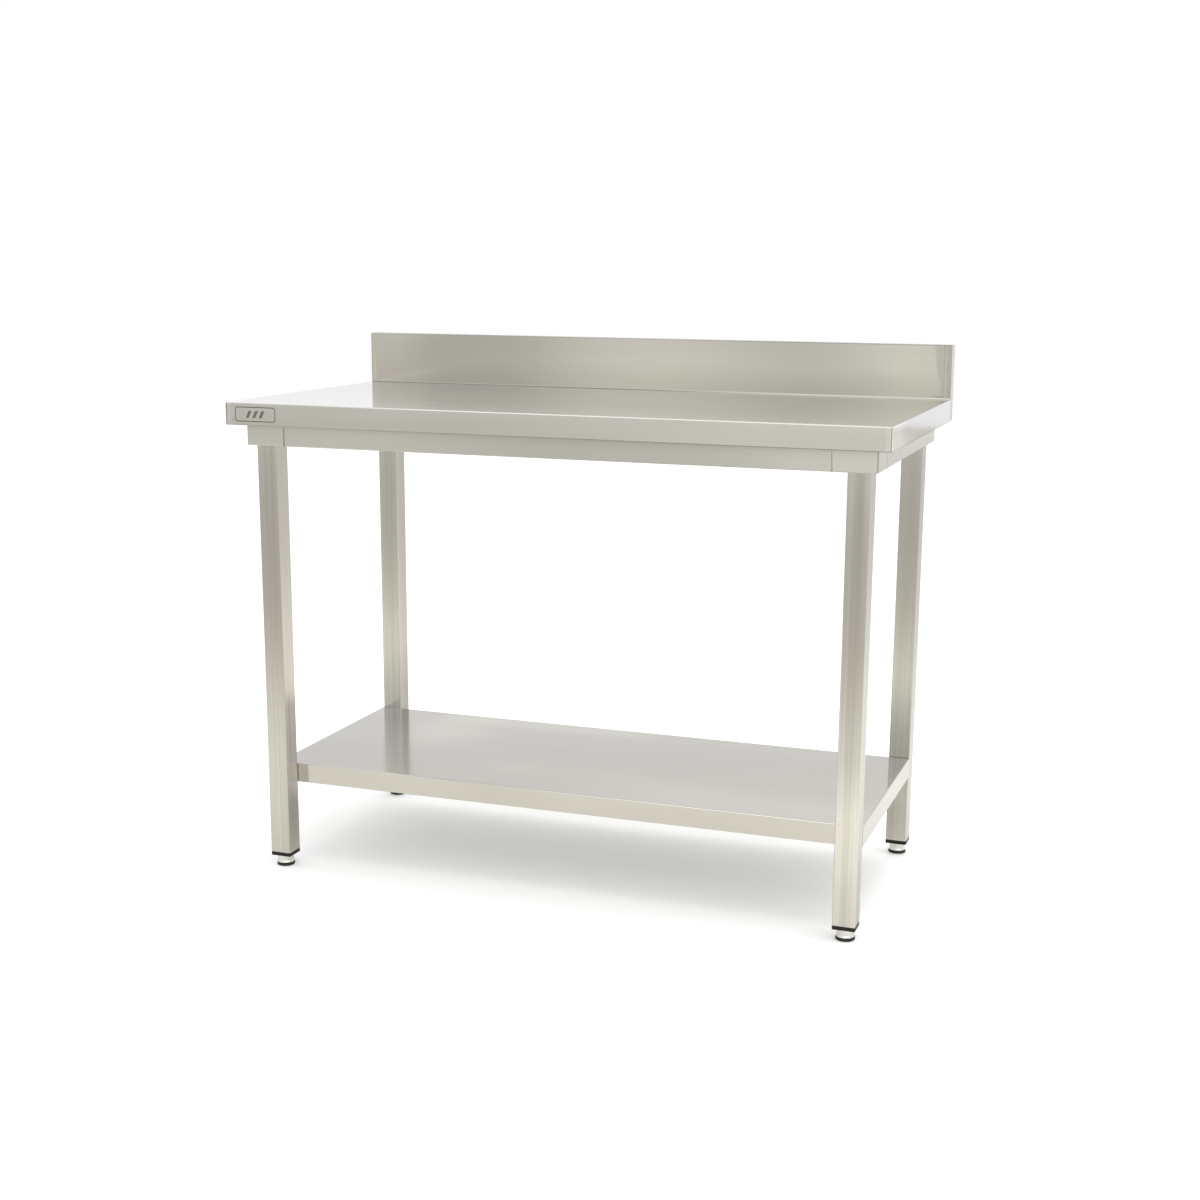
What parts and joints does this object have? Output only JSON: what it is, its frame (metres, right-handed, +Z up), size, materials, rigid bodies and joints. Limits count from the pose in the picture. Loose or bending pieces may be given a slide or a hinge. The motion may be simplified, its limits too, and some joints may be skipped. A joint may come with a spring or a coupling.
{
  "type": "work table",
  "caption": "Rectangular stainless steel work table with a folded worktop, rear upstand, apron frame, square legs on adjustable feet and a solid lower shelf.",
  "frame": {"origin": "on the floor, under the middle of the table's outline", "axes": "+X to the right along the worktop's length, +Y towards the wall (the upstand side), +Z up"},
  "size_m": [1.2, 0.6, 0.98],
  "materials": {
    "worktop_steel": "stainless sheet, grain along the length",
    "end_cap_steel": "stainless sheet, ground welds",
    "board": "pressed chipboard",
    "rail_steel": "stainless sheet, grain along the rail",
    "bracket_steel": "stainless sheet, satin",
    "crossbar_steel": "stainless sheet",
    "leg_steel": "square tube, grain along the leg",
    "plug_plastic": "black moulded plastic, satin",
    "insert_steel": "turned steel",
    "foot_steel": "turned stainless",
    "foot_rubber": "black, matt",
    "shelf_steel": "stainless sheet, grain along the length",
    "stiffener_steel": "stainless sheet",
    "fastener_steel": "zinc plated steel"
  },
  "bodies": {
    "frame": {"worktop_sheet": "worktop_steel", "upstand_end_cap_left": "end_cap_steel", "upstand_end_cap_right": "end_cap_steel", "core_board": "board", "front_rail": "rail_steel", "right_rail": "rail_steel", "rear_rail": "rail_steel", "left_rail": "rail_steel", "corner_bracket_front_left": "bracket_steel", "corner_bracket_front_right": "bracket_steel", "corner_bracket_rear_right": "bracket_steel", "corner_bracket_rear_left": "bracket_steel", "top_crossbar": "crossbar_steel", "leg_front_left": "leg_steel", "leg_front_right": "leg_steel", "leg_rear_right": "leg_steel", "leg_rear_left": "leg_steel", "leg_end_plug_front_left": "plug_plastic", "leg_end_plug_front_right": "plug_plastic", "leg_end_plug_rear_right": "plug_plastic", "leg_end_plug_rear_left": "plug_plastic", "foot_thread_inserts": "insert_steel", "shelf_sheet": "shelf_steel", "shelf_stiffener": "stiffener_steel", "rail_board_screws": "fastener_steel", "bracket_board_screws": "fastener_steel", "crossbar_screws": "fastener_steel", "bracket_weld_nuts": "fastener_steel", "leg_clamp_screws": "fastener_steel", "shelf_bolts": "fastener_steel", "shelf_washers": "fastener_steel", "shelf_rivet_nuts": "fastener_steel"},
    "pad_front_left": {"foot_pad_front_left": "foot_rubber"},
    "spindle_front_left": {"foot_spindle_front_left": "foot_steel"},
    "pad_front_right": {"foot_pad_front_right": "foot_rubber"},
    "spindle_front_right": {"foot_spindle_front_right": "foot_steel"},
    "pad_rear_right": {"foot_pad_rear_right": "foot_rubber"},
    "spindle_rear_right": {"foot_spindle_rear_right": "foot_steel"},
    "pad_rear_left": {"foot_pad_rear_left": "foot_rubber"},
    "spindle_rear_left": {"foot_spindle_rear_left": "foot_steel"}
  },
  "joints": [
    {"name": "foot_travel_front_left", "type": "slide", "parent": "frame", "child": "pad_front_left", "axis": [0, 0, -1], "range_m": [0, 0.018]},
    {"name": "foot_turn_front_left", "type": "hinge", "parent": "pad_front_left", "child": "spindle_front_left", "pos_m": [-0.5415, -0.2415, 0], "axis": [0, 0, -1], "range_deg": [0, 4320.5]},
    {"name": "foot_travel_front_right", "type": "slide", "parent": "frame", "child": "pad_front_right", "axis": [0, 0, -1], "range_m": [0, 0.018]},
    {"name": "foot_turn_front_right", "type": "hinge", "parent": "pad_front_right", "child": "spindle_front_right", "pos_m": [0.5415, -0.2415, 0], "axis": [0, 0, -1], "range_deg": [0, 4320.5]},
    {"name": "foot_travel_rear_right", "type": "slide", "parent": "frame", "child": "pad_rear_right", "axis": [0, 0, -1], "range_m": [0, 0.018]},
    {"name": "foot_turn_rear_right", "type": "hinge", "parent": "pad_rear_right", "child": "spindle_rear_right", "pos_m": [0.5415, 0.2415, 0], "axis": [0, 0, -1], "range_deg": [0, 4320.5]},
    {"name": "foot_travel_rear_left", "type": "slide", "parent": "frame", "child": "pad_rear_left", "axis": [0, 0, -1], "range_m": [0, 0.018]},
    {"name": "foot_turn_rear_left", "type": "hinge", "parent": "pad_rear_left", "child": "spindle_rear_left", "pos_m": [-0.5415, 0.2415, 0], "axis": [0, 0, -1], "range_deg": [0, 4320.5]}
  ],
  "couplings": [
    {"joint": "foot_turn_front_left", "follows": "foot_travel_front_left", "rad_per_m": 4188.8},
    {"joint": "foot_turn_front_right", "follows": "foot_travel_front_right", "rad_per_m": 4188.8},
    {"joint": "foot_turn_rear_right", "follows": "foot_travel_rear_right", "rad_per_m": 4188.8},
    {"joint": "foot_turn_rear_left", "follows": "foot_travel_rear_left", "rad_per_m": 4188.8}
  ]
}
